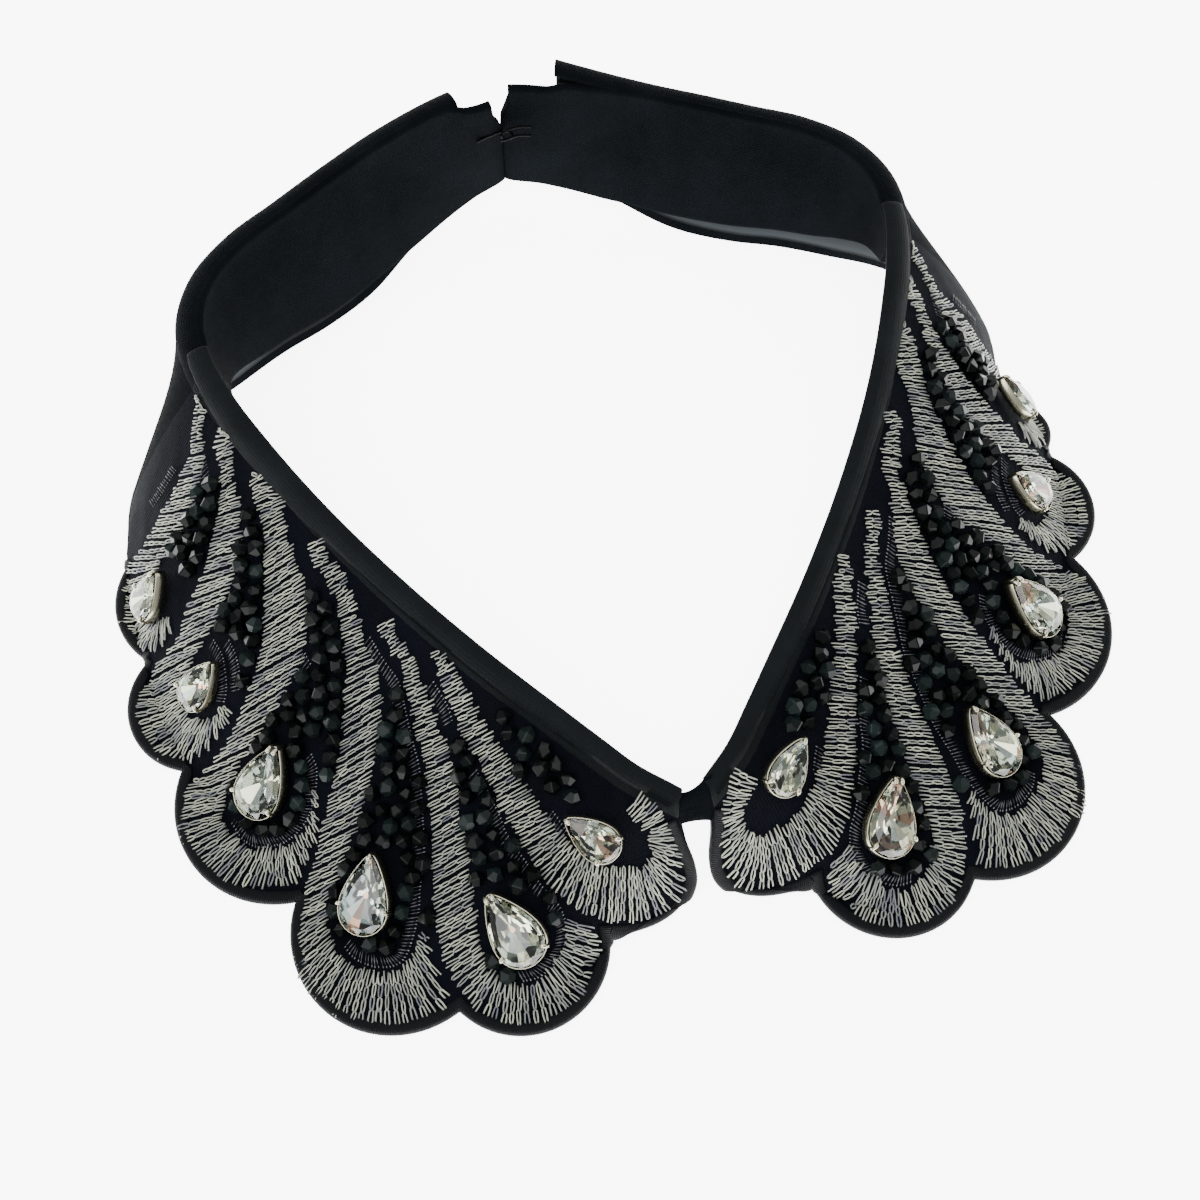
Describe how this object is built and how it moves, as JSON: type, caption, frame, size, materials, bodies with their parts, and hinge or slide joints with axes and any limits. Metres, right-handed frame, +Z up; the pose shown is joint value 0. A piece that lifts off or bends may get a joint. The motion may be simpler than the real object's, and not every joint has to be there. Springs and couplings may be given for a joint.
{
  "type": "detachable collar",
  "caption": "Detachable black cloth collar with scalloped front leaves, silver embroidered bands, pear-cut crystals in claw settings and black glass beads, hooked at the back.",
  "frame": {"origin": "centre of the bounding box, on the surface that the collar rests on", "axes": "+X across the collar towards its own right-hand leaf as seen from the front, +Y from the front tie to the back opening, +Z up"},
  "size_m": [0.2062, 0.1932, 0.0363],
  "materials": {
    "black_cloth": "fine weave, soft sheen",
    "navy_black_cloth": "fine rib, matt",
    "silver_thread": "satin thread",
    "black_glass_bead": "polished facets",
    "foiled_crystal": "polished facets over a silver foil",
    "silver_claw": "polished",
    "hook_wire": "satin"
  },
  "bodies": {
    "root": {"stand_left": "black_cloth", "leaf_left": "navy_black_cloth", "embroidery_left_1": "silver_thread", "bead_field_left_1": "black_glass_bead", "setting_left_1": "silver_claw", "stone_left_1": "foiled_crystal", "embroidery_left_2": "silver_thread", "bead_field_left_2": "black_glass_bead", "setting_left_2": "silver_claw", "stone_left_2": "foiled_crystal", "embroidery_left_3": "silver_thread", "bead_field_left_3": "black_glass_bead", "setting_left_3": "silver_claw", "stone_left_3": "foiled_crystal", "embroidery_left_4": "silver_thread", "bead_field_left_4": "black_glass_bead", "setting_left_4": "silver_claw", "stone_left_4": "foiled_crystal", "embroidery_left_5": "silver_thread", "bead_field_left_5": "black_glass_bead", "setting_left_5": "silver_claw", "stone_left_5": "foiled_crystal", "embroidery_left_6": "silver_thread", "bead_field_left_6": "black_glass_bead", "setting_left_6": "silver_claw", "stone_left_6": "foiled_crystal", "stand_right": "black_cloth", "leaf_right": "navy_black_cloth", "embroidery_right_1": "silver_thread", "bead_field_right_1": "black_glass_bead", "setting_right_1": "silver_claw", "stone_right_1": "foiled_crystal", "embroidery_right_2": "silver_thread", "bead_field_right_2": "black_glass_bead", "setting_right_2": "silver_claw", "stone_right_2": "foiled_crystal", "embroidery_right_3": "silver_thread", "bead_field_right_3": "black_glass_bead", "setting_right_3": "silver_claw", "stone_right_3": "foiled_crystal", "embroidery_right_4": "silver_thread", "bead_field_right_4": "black_glass_bead", "setting_right_4": "silver_claw", "stone_right_4": "foiled_crystal", "embroidery_right_5": "silver_thread", "bead_field_right_5": "black_glass_bead", "setting_right_5": "silver_claw", "stone_right_5": "foiled_crystal", "embroidery_right_6": "silver_thread", "bead_field_right_6": "black_glass_bead", "setting_right_6": "silver_claw", "stone_right_6": "foiled_crystal", "front_tie": "black_cloth", "hook": "hook_wire", "eye": "hook_wire"}
  },
  "joints": []
}
